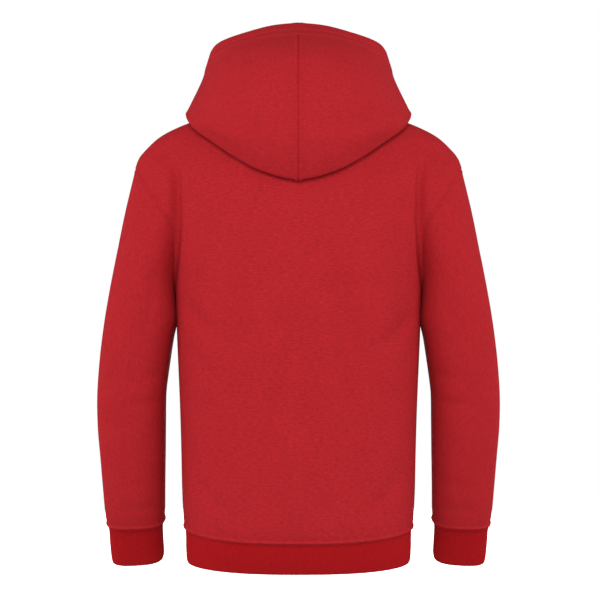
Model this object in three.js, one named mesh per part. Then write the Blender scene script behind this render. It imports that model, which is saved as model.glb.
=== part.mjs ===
import * as THREE from 'three';

// A child's pullover hoodie, filled out as if worn, with its hood down behind the neck.
// Millimetres, +Z up. The back faces +Y and the wearer's left is +X. The origin is the
// centre of the neck at the height where the shoulder seams start.

const deg = Math.PI / 180;

// Cloth
const fleeceWall = 2;
const hoodHemWall = 3;
const ribWall = 2.6;
const seamDraw = 0.19;
const sameWay = 0.9;

// Neck, shoulders and armholes
const neckHalf = 75;
const neckBack = { y: 60, z: -12 };
const neckFront = { y: -78, z: -72 };
const underarmZ = -235;
const shoulderPoint = { x: 209, z: -83 };
const shoulderRound = 2.2;
const neckArc = 0.72;

// The shoulder seam, from the neck out to the armhole
const shoulderSeam = [
  { x: 75, z: 0 },
  { x: 112, z: -14 },
  { x: 150, z: -28 },
  { x: 177, z: -42 },
  { x: 195.6, z: -59 },
  { x: 204.2, z: -70 },
  { x: 209, z: -83 },
];

// The armhole seam, by its turn from the shoulder point round to the underarm
const armhole = [
  { turn: 0, x: 209, depth: 0 },
  { turn: 30, x: 203, depth: 25 },
  { turn: 60, x: 184.5, depth: 44 },
  { turn: 90, x: 160, depth: 46 },
  { turn: 120, x: 156.8, depth: 33 },
  { turn: 150, x: 157, depth: 17 },
  { turn: 180, x: 157, depth: 0 },
];

// Level rings of the body, from the hem seam up to the underarm
const bodyRings = [
  { z: -539, half: 144.6, back: 95, front: 97 },
  { z: -528, half: 146.2, back: 98.5, front: 101 },
  { z: -494, half: 148, back: 99, front: 102 },
  { z: -440, half: 149.2, back: 98.5, front: 102 },
  { z: -380, half: 151, back: 98, front: 103 },
  { z: -310, half: 154, back: 98, front: 104 },
  { z: -235, half: 157, back: 97, front: 105 },
];
const bodySquare = 2.5;
const hemDroop = { back: 8, front: 2 };

// The rib band, from the hem seam down, with its share of the hem's droop
const bandRings = [
  { drop: 0, half: 144.6, back: 95, front: 97, sag: 1 },
  { drop: 4.5, half: 143.4, back: 92.5, front: 94.5, sag: 0.95 },
  { drop: 22, half: 143.2, back: 90, front: 92, sag: 0.7 },
  { drop: 37, half: 142.6, back: 86, front: 88, sag: 0.5 },
  { drop: 42, half: 141.6, back: 84.5, front: 86.5, sag: 0.45 },
];

// Rings of the sleeve, from the armhole down to the cuff seam
const sleeveRings = [
  { outX: 209, outZ: -83, inX: 157, inZ: -235, midY: 0, depth: 50, lean: 0 },
  { outX: 221.5, outZ: -135, inX: 159.4, inZ: -243, midY: 0, depth: 54, lean: 0 },
  { outX: 232, outZ: -187, inX: 158.4, inZ: -256, midY: 0, depth: 56, lean: 0 },
  { outX: 241, outZ: -237, inX: 158.2, inZ: -274, midY: -1, depth: 55, lean: 0 },
  { outX: 248.5, outZ: -283, inX: 160.4, inZ: -299, midY: -3, depth: 52, lean: 0.02 },
  { outX: 254, outZ: -325, inX: 165, inZ: -329, midY: -5, depth: 49, lean: 0.04 },
  { outX: 257.6, outZ: -370, inX: 170.2, inZ: -368, midY: -8, depth: 46, lean: 0.07 },
  { outX: 257.6, outZ: -410, inX: 171.4, inZ: -408, midY: -12, depth: 45, lean: 0.1 },
  { outX: 255, outZ: -450, inX: 172.2, inZ: -448, midY: -17, depth: 43, lean: 0.13 },
  { outX: 252.4, outZ: -490, inX: 173.2, inZ: -488, midY: -22, depth: 41, lean: 0.15 },
  { outX: 250.2, outZ: -523, inX: 173.8, inZ: -521, midY: -27, depth: 38, lean: 0.16 },
  { outX: 247.4, outZ: -539, inX: 174.8, inZ: -537, midY: -29, depth: 34, lean: 0.16 },
];
const armholeReach = 4;
const armholeDepth = 49;
const armholeSqueeze = 0.3;
const armholePull = 3;
const tubeSquare = 2.15;

// Rings of the cuff, from its seam down
const cuffRings = [
  { outX: 247.4, outZ: -539, inX: 174.8, inZ: -537, midY: -29, depth: 34, lean: 0.16 },
  { outX: 245.6, outZ: -545.5, inX: 177.2, inZ: -543.5, midY: -30, depth: 30, lean: 0.17 },
  { outX: 245, outZ: -563, inX: 177, inZ: -561, midY: -34, depth: 28, lean: 0.2 },
  { outX: 243.8, outZ: -581, inX: 176.4, inZ: -578.5, midY: -38, depth: 26.5, lean: 0.24 },
  { outX: 242.8, outZ: -587.5, inX: 176.8, inZ: -584, midY: -39.5, depth: 25.5, lean: 0.25 },
];

// The fold where the arm hangs against the body, on the back and on the front
const armpitFold = [
  { z: -66, x: 162, deep: 0, wide: 10 },
  { z: -86, x: 151, deep: 5, wide: 9 },
  { z: -105, x: 148.5, deep: 9, wide: 8 },
  { z: -145, x: 148, deep: 10, wide: 8 },
  { z: -185, x: 150.5, deep: 7, wide: 8 },
  { z: -215, x: 153, deep: 2, wide: 8 },
  { z: -228, x: 154, deep: 0, wide: 8 },
];

// Lines of the hood half, each from the centre back (at 0) past the side of the neck
// (at 1) to the centre front (at 2). The fold is the lowest line of the hanging hood.
const hoodFold = [
  { at: 0, x: 0, y: 101, z: -104, round: 9, roll: 1, lift: 2 },
  { at: 0.25, x: 42.5, y: 97, z: -94, round: 9, roll: 1, lift: 2 },
  { at: 0.5, x: 75, y: 86, z: -77, round: 9, roll: 0.95, lift: 3 },
  { at: 0.75, x: 110, y: 64, z: -52, round: 8, roll: 0.85, lift: 5 },
  { at: 0.875, x: 125.5, y: 51, z: -40.5, round: 7.5, roll: 0.8, lift: 5 },
  { at: 0.94, x: 134, y: 35, z: -31, round: 6.5, roll: 0.78, lift: 4.5 },
  { at: 0.97, x: 136.8, y: 20, z: -23.2, round: 6.2, roll: 0.76, lift: 4 },
  { at: 1, x: 137.5, y: 4, z: -19.6, round: 6.2, roll: 0.75, lift: 3 },
  { at: 1.12, x: 134, y: -28, z: -24, round: 6.5, roll: 0.7, lift: 6 },
  { at: 1.25, x: 121, y: -53, z: -37, round: 7, roll: 0.65, lift: 8 },
  { at: 1.5, x: 88, y: -83, z: -61, round: 6.5, roll: 0.55, lift: 6 },
  { at: 1.75, x: 48, y: -94, z: -79, round: 5, roll: 0.5, lift: 3 },
  { at: 2, x: 9, y: -91, z: -84, round: 3.5, roll: 0.45, lift: 0 },
];
const hoodBelly = [
  { at: 0, x: 0, y: 123, z: -58 },
  { at: 0.25, x: 48, y: 118, z: -53 },
  { at: 0.5, x: 86, y: 103, z: -42 },
  { at: 0.75, x: 121.5, y: 70, z: -27 },
  { at: 0.875, x: 134, y: 42, z: -16.5 },
  { at: 1, x: 139.6, y: 5, z: -4.5 },
  { at: 1.25, x: 128, y: -58, z: -20 },
  { at: 1.5, x: 95, y: -91, z: -43 },
  { at: 1.75, x: 53, y: -101, z: -63 },
  { at: 2, x: 7, y: -98, z: -76 },
];
const hoodCrown = [
  { at: 0, x: 0, y: 112, z: 38 },
  { at: 0.25, x: 41, y: 108, z: 37 },
  { at: 0.5, x: 77, y: 92, z: 36 },
  { at: 0.75, x: 106, y: 58, z: 33 },
  { at: 1, x: 124, y: 5, z: 29 },
  { at: 1.25, x: 121, y: -48, z: 10 },
  { at: 1.5, x: 95, y: -83, z: -19 },
  { at: 1.75, x: 54, y: -102, z: -45 },
  { at: 2, x: 7, y: -103, z: -67 },
];
const hoodRim = [
  { at: 0, x: 0, y: 46, z: 95 },
  { at: 0.25, x: 32, y: 45, z: 92.6 },
  { at: 0.5, x: 62, y: 40, z: 86 },
  { at: 0.75, x: 92, y: 28, z: 78.2 },
  { at: 0.875, x: 106, y: 16, z: 72 },
  { at: 1, x: 113, y: 3, z: 61 },
  { at: 1.25, x: 108, y: -28, z: 37 },
  { at: 1.5, x: 86, y: -65, z: 3 },
  { at: 1.75, x: 50, y: -94, z: -31 },
  { at: 2, x: 8, y: -103, z: -58 },
];
const hoodStand = { up: 12, lean: 2, rollOut: 9, rollUp: 19, fallOut: 21, fallUp: 8 };
const hoodRowsPerSpan = [1, 2, 2, 2, 2, 1, 1, 3, 4, 3];
const hoodHemRows = 1;

// How finely the cloth is cut into faces
const neckColumns = 7;
const shoulderColumns = 7;
const neckShare = 0.34;
const armholeRows = 10;
const sleeveRowsPerRing = 2;

const clothColour = new THREE.Color(0.457, 0.02, 0.026);
const ribColour = new THREE.Color(0.33, 0.012, 0.016);

const clamp = (value, low, high) => Math.min(Math.max(value, low), high);
const smooth = (f) => f * f * (3 - 2 * f);
const mirror = (p) => new THREE.Vector3(-p.x, p.y, p.z);

// A row of a table, read smoothly between its rows at a value of one column
function rowAt(table, column, value) {
  const last = table.length - 1;
  const rising = Math.sign(table[last][column] - table[0][column]);
  let k = 0;
  while (k < last - 1 && (value - table[k + 1][column]) * rising > 0) {
    k += 1;
  }
  const [a, b] = [table[k], table[k + 1]];
  const [before, after] = [table[Math.max(k - 1, 0)], table[Math.min(k + 2, last)]];
  const span = b[column] - a[column];
  const f = clamp((value - a[column]) / span, 0, 1);
  const row = {};
  for (const name of Object.keys(a)) {
    const leave = ((b[name] - before[name]) / (b[column] - before[column])) * span;
    const arrive = ((after[name] - a[name]) / (after[column] - a[column])) * span;
    const rise = b[name] - a[name];
    const bend = leave * (1 - f) - arrive * f + rise * (2 * f - 1);
    row[name] = a[name] + rise * f + f * (1 - f) * bend;
  }
  return row;
}

// A table whose rows are read by their place in it
const numbered = (table) => table.map((row, place) => ({ place, ...row }));

// A line of the hood that runs on smoothly across the centre seam
function acrossCentre(table) {
  const next = table[1];
  return [{ ...next, at: -next.at, x: -next.x }, ...table];
}

// A ring's point in plan: turn 0 is the centre back or front, turn 1 the side
function ringPoint(half, depth, turn, square) {
  const wide = half * Math.sin(turn * 90 * deg);
  const deep = depth * Math.cos(turn * 90 * deg);
  const size = (Math.abs(wide / half) ** square + Math.abs(deep / depth) ** square) ** (1 / square);
  return { x: wide / size, y: deep / size };
}

// Where the columns meet the neckline: they lie closer together at the top of the shoulder
function neckStops() {
  const stops = Array.from({ length: neckColumns }, (_, j) => j / neckColumns);
  return [...stops, 1 - 0.5 / neckColumns, 1];
}

// Columns of a body panel, from its centre to its edge
function columnTurns() {
  const turns = neckStops().map((share) => neckShare * share);
  for (let j = 1; j <= shoulderColumns; j += 1) {
    turns.push(neckShare + ((1 - neckShare) * j) / shoulderColumns);
  }
  return turns;
}

// The neckline: share 0 is the centre back or front, share 1 the top of the shoulder
function neckPoint(side, share) {
  const centre = side > 0 ? neckBack : neckFront;
  const across = Math.cos(share * 90 * deg);
  return new THREE.Vector3(
    neckHalf * Math.sin(share * 90 * deg),
    centre.y * across,
    centre.z * across ** 2,
  );
}

function shoulderSeamPoint(share) {
  const row = rowAt(numbered(shoulderSeam), 'place', share * (shoulderSeam.length - 1));
  return new THREE.Vector3(row.x, 0, row.z);
}

// The armhole seam: turn 0 is the shoulder point and 180 the underarm
function armholePoint(side, turn) {
  const row = rowAt(armhole, 'turn', turn);
  const share = (1 - Math.cos(turn * deg)) / 2;
  const z = shoulderPoint.z + (underarmZ - shoulderPoint.z) * share;
  return new THREE.Vector3(row.x, side * row.depth, z);
}

// Presses the armpit fold into a point of the back or front
function foldIn(point) {
  const first = armpitFold[0];
  const last = armpitFold[armpitFold.length - 1];
  if (point.z >= first.z || point.z <= last.z) {
    return point;
  }
  const fold = rowAt(armpitFold, 'z', point.z);
  const away = (Math.abs(point.x) - fold.x) / fold.wide;
  const side = Math.sign(point.y);
  point.y -= side * Math.min(fold.deep * Math.exp(-away * away), Math.abs(point.y));
  return point;
}

// The body below the underarm
function lowerPoint(side, turn, z) {
  const row = rowAt(bodyRings, 'z', z);
  const depth = side > 0 ? row.back : row.front;
  const plan = ringPoint(row.half, depth, turn, bodySquare);
  const sag = side > 0 ? hemDroop.back : hemDroop.front;
  const share = clamp((underarmZ - z) / (underarmZ - bodyRings[0].z), 0, 1);
  return new THREE.Vector3(plan.x, side * plan.y, z - sag * share * (plan.y / depth) ** 2);
}

// The body above the underarm, before its edge is set on the armhole: it rises from the
// chest ring and arches over to the neckline and the shoulder seam
function loftPoint(side, turn, rise, seamDepth) {
  const squeeze = 1 - (armholeSqueeze * seamDepth * turn ** 2) / armholeDepth;
  const foot = lowerPoint(side, turn * squeeze, underarmZ);
  const onNeck = turn <= neckShare;
  const head = onNeck
    ? neckPoint(side, turn / neckShare)
    : shoulderSeamPoint((turn - neckShare) / (1 - neckShare));
  const arc = onNeck ? neckArc + (1 - neckArc) * smooth(turn / neckShare) : 1;
  const top = 90 * deg * arc;
  const swing = Math.asin(Math.min(rise ** (shoulderRound / 2) * Math.sin(top), 1));
  const power = 2 / shoulderRound;
  const low = Math.max(Math.cos(top), 0) ** power;
  const arch = (Math.max(Math.cos(swing), 0) ** power - low) / (1 - low);
  return new THREE.Vector3(
    foot.x + (head.x - foot.x) * rise ** shoulderRound,
    head.y + (foot.y - head.y) * arch,
    foot.z + (head.z - foot.z) * rise,
  );
}

function upperPoint(side, turn, rise) {
  const seam = armholePoint(side, Math.acos(2 * rise - 1) / deg);
  const seamDepth = Math.abs(seam.y);
  const pull = seam.sub(loftPoint(side, 1, rise, seamDepth)).multiplyScalar(turn ** armholePull);
  return loftPoint(side, turn, rise, seamDepth).add(pull);
}

// Rows of a panel, from the hem seam up to the neckline and shoulder seam
function panelGrid(side) {
  const turns = columnTurns();
  const halfRows = bodyRings.map((ring) => turns.map((turn) => lowerPoint(side, turn, ring.z)));
  for (let i = 1; i <= armholeRows; i += 1) {
    const rise = (1 - Math.cos((i / armholeRows) * 180 * deg)) / 2;
    halfRows.push(turns.map((turn) => foldIn(upperPoint(side, turn, rise))));
  }
  return halfRows.map((row) => [...row.slice(1).reverse().map(mirror), ...row]);
}

// A ring of a sleeve or cuff: turn 0 is its outside, 90 its back, 180 its inside
function tubePoint(row, turn) {
  const outer = new THREE.Vector3(row.outX, row.midY, row.outZ);
  const inner = new THREE.Vector3(row.inX, row.midY, row.inZ);
  const middle = outer.clone().add(inner).multiplyScalar(0.5);
  const [c, s] = [Math.cos(turn * deg), Math.sin(turn * deg)];
  const size = (Math.abs(c) ** tubeSquare + Math.abs(s) ** tubeSquare) ** (1 / tubeSquare);
  const point = middle.clone().add(outer.sub(middle).multiplyScalar(c / size));
  point.y += (row.depth * s) / size;
  point.z -= (row.lean * row.depth * s) / size;
  return point;
}

function ringTurns() {
  return Array.from({ length: 2 * armholeRows }, (_, k) => (k / armholeRows) * 180);
}

function sleeveGrid() {
  const rings = numbered(sleeveRings);
  const rows = [];
  const count = (rings.length - 1) * sleeveRowsPerRing;
  for (let i = 0; i <= count; i += 1) {
    const place = i / sleeveRowsPerRing;
    const keep = 1 - smooth(clamp(place / armholeReach, 0, 1));
    rows.push(ringTurns().map((turn) => {
      const side = turn <= 180 ? 1 : -1;
      const seam = foldIn(armholePoint(side, turn <= 180 ? turn : 360 - turn));
      const shift = seam.sub(tubePoint(rings[0], turn)).multiplyScalar(keep);
      return tubePoint(rowAt(rings, 'place', place), turn).add(shift);
    }));
  }
  return rows;
}

function cuffGrid() {
  return cuffRings.map((ring) => ringTurns().map((turn) => tubePoint(ring, turn)));
}

// The band's columns meet those of the panels: side, back, other side, front
function bandGrid() {
  const turns = columnTurns();
  const inward = [...turns].reverse();
  return bandRings.map((ring) => {
    const around = (side, list) => list.map((turn) => {
      const depth = side > 0 ? ring.back : ring.front;
      const plan = ringPoint(ring.half, depth, turn, bodySquare);
      const sag = ring.sag * (side > 0 ? hemDroop.back : hemDroop.front);
      const z = bodyRings[0].z - ring.drop - sag * (plan.y / depth) ** 2;
      return new THREE.Vector3(plan.x, side * plan.y, z);
    });
    const back = around(1, inward);
    const front = around(-1, inward);
    return [
      ...back,
      ...around(1, turns).slice(1, -1).map(mirror),
      ...front.map(mirror),
      ...around(-1, turns).slice(1, -1),
    ];
  });
}

// The key points of one hood section, from the neckline out to the fold and up to the rim
function hoodKeys(at) {
  const side = at <= 1 ? 1 : -1;
  const neck = neckPoint(side, at <= 1 ? at : 2 - at);
  const fold = rowAt(acrossCentre(hoodFold), 'at', at);
  const low = new THREE.Vector3(fold.x, fold.y, fold.z);
  const outward = low.clone().sub(neck).setZ(0).normalize();
  const from = (start, out, up) => {
    const moved = start.clone().addScaledVector(outward, out);
    moved.z += up;
    return moved;
  };
  const stand = hoodStand;
  const fall = from(neck, stand.fallOut * fold.roll, stand.fallUp * fold.roll);
  const foldSide = from(low, -fold.round, fold.round * 1.2);
  const point = (table) => {
    const row = rowAt(acrossCentre(table), 'at', at);
    return new THREE.Vector3(row.x, row.y, row.z);
  };
  return [
    neck,
    from(neck, stand.lean, stand.up * fold.roll),
    from(neck, stand.rollOut * fold.roll, stand.rollUp * fold.roll),
    fall,
    from(fall.clone().lerp(foldSide, 0.5), 0, fold.lift),
    foldSide,
    low,
    from(low, fold.round, fold.round * 1.2),
    point(hoodBelly),
    point(hoodCrown),
    point(hoodRim),
  ];
}

// Rows of a hood half from the neckline to the rim, columns from the back to the front
function hoodGrid() {
  const columns = [];
  const stops = neckStops();
  const inFront = stops.slice(0, -1).reverse().map((share) => 2 - share);
  for (const at of [...stops, ...inFront]) {
    const curve = new THREE.CatmullRomCurve3(hoodKeys(at), false, 'centripetal');
    const spans = hoodRowsPerSpan.length;
    const column = [];
    hoodRowsPerSpan.forEach((steps, span) => {
      for (let i = 0; i < steps; i += 1) {
        column.push(curve.getPoint((span + i / steps) / spans));
      }
    });
    column.push(curve.getPoint(1));
    columns.push(column);
  }
  return columns[0].map((_, i) => columns.map((column) => column[i]));
}

// Each cloth piece as rows of outer points; facing turns its normals outward
const fleeceLook = { colour: clothColour, roughness: 0.95 };
const ribLook = { colour: ribColour, roughness: 0.9 };

function piece(name, rows, settings) {
  return { name, rows, round: false, facing: -1, wall: () => fleeceWall, look: fleeceLook, ...settings };
}

function mirroredPiece(name, original) {
  return { ...original, name, rows: original.rows.map((row) => row.map(mirror)), facing: -original.facing };
}

function allPieces() {
  const hoodRows = hoodGrid();
  const hemStart = hoodRows.length - 1 - hoodHemRows;
  const sleeve = piece('sleeve_left', sleeveGrid(), { round: true });
  const cuff = piece('cuff_left', cuffGrid(), { round: true, wall: () => ribWall, look: ribLook });
  const hood = piece('hood_left', hoodRows, { wall: (i) => (i > hemStart ? hoodHemWall : fleeceWall) });
  return [
    piece('back_panel', panelGrid(1), {}),
    piece('front_panel', panelGrid(-1), { facing: 1 }),
    sleeve,
    mirroredPiece('sleeve_right', sleeve),
    cuff,
    mirroredPiece('cuff_right', cuff),
    piece('hem_band', bandGrid(), { round: true, wall: () => ribWall, look: ribLook }),
    hood,
    mirroredPiece('hood_right', hood),
  ];
}

// Normals of a piece and, on its edges, the way from the edge into the piece
function measure(item) {
  const { rows, round, facing } = item;
  const lastRow = rows.length - 1;
  const width = rows[0].length;
  const column = (j) => (round ? (j + width) % width : clamp(j, 0, width - 1));
  const at = (i, j) => rows[clamp(i, 0, lastRow)][column(j)];
  item.normals = rows.map((row, i) => row.map((_, j) => {
    const along = at(i, j + 1).clone().sub(at(i, j - 1));
    const down = at(i + 1, j).clone().sub(at(i - 1, j));
    return along.cross(down).multiplyScalar(facing).normalize();
  }));
  item.inward = rows.map((row, i) => row.map((_, j) => {
    const way = new THREE.Vector3();
    const here = at(i, j);
    const step = (p) => way.add(p.clone().sub(here).normalize());
    if (i === 0) step(at(1, j));
    if (i === lastRow) step(at(lastRow - 1, j));
    if (!round && j === 0) step(at(i, 1));
    if (!round && j === width - 1) step(at(i, width - 2));
    return way.lengthSq() > 0 ? way.normalize() : way;
  }));
}

// Orders the points of a seam, so that both its rims are split into the same triangles
const seamOrder = (p) => p.z + 0.1 * Math.abs(p.x) + 0.01 * p.y;
const spot = (p) => [p.x, p.y, p.z].map((value) => Math.round(value * 100)).join(' ');

// Pieces that meet at a seam share its normal, and draw back from it, which leaves about 0.3 mm
function settleSeams(pieces) {
  const meeting = new Map();
  for (const item of pieces) {
    item.rows.forEach((row, i) => row.forEach((point, j) => {
      if (item.inward[i][j].lengthSq() > 0) {
        const key = spot(point);
        meeting.set(key, [...(meeting.get(key) ?? []), { item, i, j }]);
      }
    }));
  }
  for (const places of meeting.values()) {
    const normal = new THREE.Vector3();
    const faces = places.map(({ item, i, j }) => item.normals[i][j]);
    faces.forEach((face) => {
      const alike = faces.filter((other) => other.dot(face) > sameWay).length;
      normal.addScaledVector(face, 1 / alike);
    });
    normal.normalize();
    const ways = places.map(({ item, i, j }) => item.inward[i][j].clone());
    const sum = ways.reduce((total, way) => total.add(way), new THREE.Vector3());
    places.forEach(({ item, i, j }, k) => {
      item.normals[i][j] = normal.clone();
      const others = sum.clone().sub(ways[k]).divideScalar(Math.max(places.length - 1, 1));
      item.inward[i][j] = ways[k].clone().sub(others).setLength(seamDraw);
    });
  }
}

// A closed wall: the outer points, the inner points one wall thickness in, and the rims
function clothMesh(item) {
  const { rows, round, facing, wall, look } = item;
  const count = rows.length;
  const width = rows[0].length;
  const positions = [];
  for (const inner of [0, 1]) {
    rows.forEach((row, i) => row.forEach((point, j) => {
      const p = point.clone().add(item.inward[i][j]);
      p.addScaledVector(item.normals[i][j], -inner * wall(i));
      positions.push(p.x, p.y, p.z);
    }));
  }
  const indices = [];
  const quad = (a, b, c, d) => {
    if (facing > 0) {
      indices.push(a, b, c, a, c, d);
    } else {
      indices.push(a, c, b, a, d, c);
    }
  };
  const index = (inner, i, j) => (inner * count + i) * width + (round ? j % width : j);
  const spans = round ? width : width - 1;
  for (let i = 0; i < count - 1; i += 1) {
    for (let j = 0; j < spans; j += 1) {
      quad(index(0, i, j), index(0, i, j + 1), index(0, i + 1, j + 1), index(0, i + 1, j));
      quad(index(1, i, j), index(1, i + 1, j), index(1, i + 1, j + 1), index(1, i, j + 1));
    }
  }
  const rim = (i, j, nextI, nextJ) => {
    const [a, b] = [index(0, i, j), index(0, nextI, nextJ)];
    const [c, d] = [index(1, nextI, nextJ), index(1, i, j)];
    if (seamOrder(rows[i][j % width]) < seamOrder(rows[nextI][nextJ % width])) {
      quad(a, b, c, d);
    } else {
      quad(b, c, d, a);
    }
  };
  for (let j = 0; j < spans; j += 1) {
    rim(0, j + 1, 0, j);
    rim(count - 1, j, count - 1, j + 1);
  }
  for (let i = 0; i < count - 1 && !round; i += 1) {
    rim(i, 0, i + 1, 0);
    rim(i + 1, spans, i, spans);
  }
  const geometry = new THREE.BufferGeometry();
  geometry.setAttribute('position', new THREE.Float32BufferAttribute(positions, 3));
  geometry.setIndex(indices);
  geometry.computeVertexNormals();
  const material = new THREE.MeshStandardMaterial({
    color: look.colour,
    roughness: look.roughness,
    metalness: 0,
  });
  const mesh = new THREE.Mesh(geometry, material);
  mesh.name = item.name;
  return mesh;
}

function hoodie() {
  const group = new THREE.Group();
  const pieces = allPieces();
  pieces.forEach(measure);
  settleSeams(pieces);
  pieces.forEach((item) => group.add(clothMesh(item)));
  return group;
}

export default hoodie();
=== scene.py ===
import math
import bpy
import numpy as np
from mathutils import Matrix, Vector


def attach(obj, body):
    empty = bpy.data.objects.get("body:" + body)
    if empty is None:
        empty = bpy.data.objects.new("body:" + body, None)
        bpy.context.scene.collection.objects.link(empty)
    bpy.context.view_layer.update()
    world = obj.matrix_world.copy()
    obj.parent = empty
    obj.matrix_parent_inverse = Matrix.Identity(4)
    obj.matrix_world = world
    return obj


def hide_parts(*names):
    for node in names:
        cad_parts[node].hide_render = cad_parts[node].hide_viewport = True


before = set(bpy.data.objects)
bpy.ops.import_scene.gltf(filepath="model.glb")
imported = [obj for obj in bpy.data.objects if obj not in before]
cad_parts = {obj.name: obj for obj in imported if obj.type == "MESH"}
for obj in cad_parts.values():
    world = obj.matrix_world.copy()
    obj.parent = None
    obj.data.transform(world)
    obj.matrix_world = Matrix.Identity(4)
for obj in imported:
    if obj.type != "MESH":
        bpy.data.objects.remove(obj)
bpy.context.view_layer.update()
print("hoodie: frame loaded")

# All sizes of the cloth are in millimetres, and its meshes are written in metres
mm = 0.001


# A short table with named columns, a row for each section
def table(columns, *rows):
    return {name: np.array(values, float) for name, values in zip(columns.split(), zip(*rows))}


# Reads a table smoothly between its rows, at values of one of its columns
def readTable(rows, column, value):
    keys = rows[column]
    rising = np.sign(keys[-1] - keys[0])
    value = np.asarray(value, float)
    k = np.clip(np.searchsorted(keys * rising, value * rising) - 1, 0, len(keys) - 2)
    before = np.maximum(k - 1, 0)
    after = np.minimum(k + 2, len(keys) - 1)
    span = keys[k + 1] - keys[k]
    f = np.clip((value - keys[k]) / span, 0, 1)
    found = {}
    for name, line in rows.items():
        leave = (line[k + 1] - line[before]) / (keys[k + 1] - keys[before]) * span
        arrive = (line[after] - line[k]) / (keys[after] - keys[k]) * span
        rise = line[k + 1] - line[k]
        bend = leave * (1 - f) - arrive * f + rise * (2 * f - 1)
        found[name] = line[k] + rise * f + f * (1 - f) * bend
    return found


def numbered(rows):
    return {"place": np.arange(len(next(iter(rows.values()))), dtype=float), **rows}


def smooth(f):
    return f * f * (3 - 2 * f)


# Rises softly from 0 at nothing to 1 at the reach
def ramp(value, reach):
    return smooth(np.clip(value / reach, 0, 1))


def point(x, y, z):
    return np.stack(np.broadcast_arrays(x, y, z), -1).astype(float)


def unit(vectors):
    return vectors / np.maximum(np.linalg.norm(vectors, axis=-1, keepdims=True), 1e-9)


# Evenly spaced values between stops, given as (value, steps to the next stop)
def marks(*stops):
    pairs = zip(stops, stops[1:])
    stretches = [np.linspace(a, b, steps, endpoint=False) for (a, steps), (b, _) in pairs]
    return np.concatenate([*stretches, [stops[-1][0]]])


# The cut of the body, as worn
body = {
    "neckHalf": 75, "neckBack": (60, -12), "neckFront": (-78, -72),
    "underarmZ": -235, "shoulderZ": -83, "shoulderRound": 2.2, "neckArc": 0.72,
    "neckShare": 0.34, "armholeDepth": 49, "armholeSqueeze": 0.3, "armholePull": 3,
    "square": 2.5, "backDroop": 8, "frontDroop": 2, "foldNear": 0.45, "foldFar": 1.7,
}
shoulderSeam = numbered(table(
    "x z",
    (75, 0), (112, -14), (150, -28), (177, -42), (195.6, -59), (204.2, -70), (209, -83)))
armhole = table(
    "turn x depth",
    (0, 209, 0), (30, 203, 25), (60, 184.5, 44), (90, 160, 46), (120, 156.8, 33), (150, 157, 17),
    (180, 157, 0))
bodyRings = table(
    "z half back front",
    (-539, 144.6, 95, 97), (-528, 146.2, 98.5, 101), (-494, 148, 99, 102), (-440, 149.2, 98.5, 102),
    (-380, 151, 98, 103), (-310, 154, 98, 104), (-235, 157, 97, 105))
armpitFold = table(
    "z x deep wide",
    (-60, 163, 0, 9), (-74, 156, 3, 7), (-88, 150.6, 7, 6), (-110, 148.6, 10, 5.5),
    (-150, 148.2, 12, 5.5), (-185, 149.6, 12, 5), (-210, 152, 9, 5), (-228, 155, 4, 5),
    (-238, 156.5, 0, 5))


# A ring in plan: turn 0 is the centre back or front, turn 1 or -1 the side
def ringPoint(half, depth, turn, square):
    wide = half * np.sin(turn * math.pi / 2)
    deep = depth * np.cos(turn * math.pi / 2)
    size = (np.abs(wide / half) ** square + np.abs(deep / depth) ** square) ** (1 / square)
    return wide / size, deep / size


def neckPoint(side, share):
    y, z = body["neckBack"] if side > 0 else body["neckFront"]
    across = np.cos(share * math.pi / 2)
    return point(body["neckHalf"] * np.sin(share * math.pi / 2), y * across, z * across ** 2)


# The armhole seam: turn 0 is the shoulder point and 180 the underarm
def armholePoint(side, turn):
    row = readTable(armhole, "turn", turn)
    share = (1 - np.cos(np.radians(turn))) / 2
    z = body["shoulderZ"] + (body["underarmZ"] - body["shoulderZ"]) * share
    return point(row["x"], side * row["depth"], z)


# Presses in the fold where the arm hangs against the body
def foldIn(points):
    z = points[..., 2]
    row = readTable(armpitFold, "z", z)
    within = (z < armpitFold["z"][0]) & (z > armpitFold["z"][-1])
    away = np.abs(points[..., 0]) - row["x"]
    away = away / np.where(away < 0, body["foldNear"], body["foldFar"]) / row["wide"]
    deep = np.minimum(row["deep"] * np.exp(-away * away), np.abs(points[..., 1])) * within
    folded = points.copy()
    folded[..., 1] -= np.sign(points[..., 1]) * deep
    return folded


def lowerPoint(side, turn, z):
    row = readTable(bodyRings, "z", z)
    depth = row["back"] if side > 0 else row["front"]
    x, y = ringPoint(row["half"], depth, turn, body["square"])
    droop = body["backDroop"] if side > 0 else body["frontDroop"]
    share = np.clip((body["underarmZ"] - z) / (body["underarmZ"] - bodyRings["z"][0]), 0, 1)
    return point(x, side * y, z - droop * share * (y / depth) ** 2)


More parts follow.
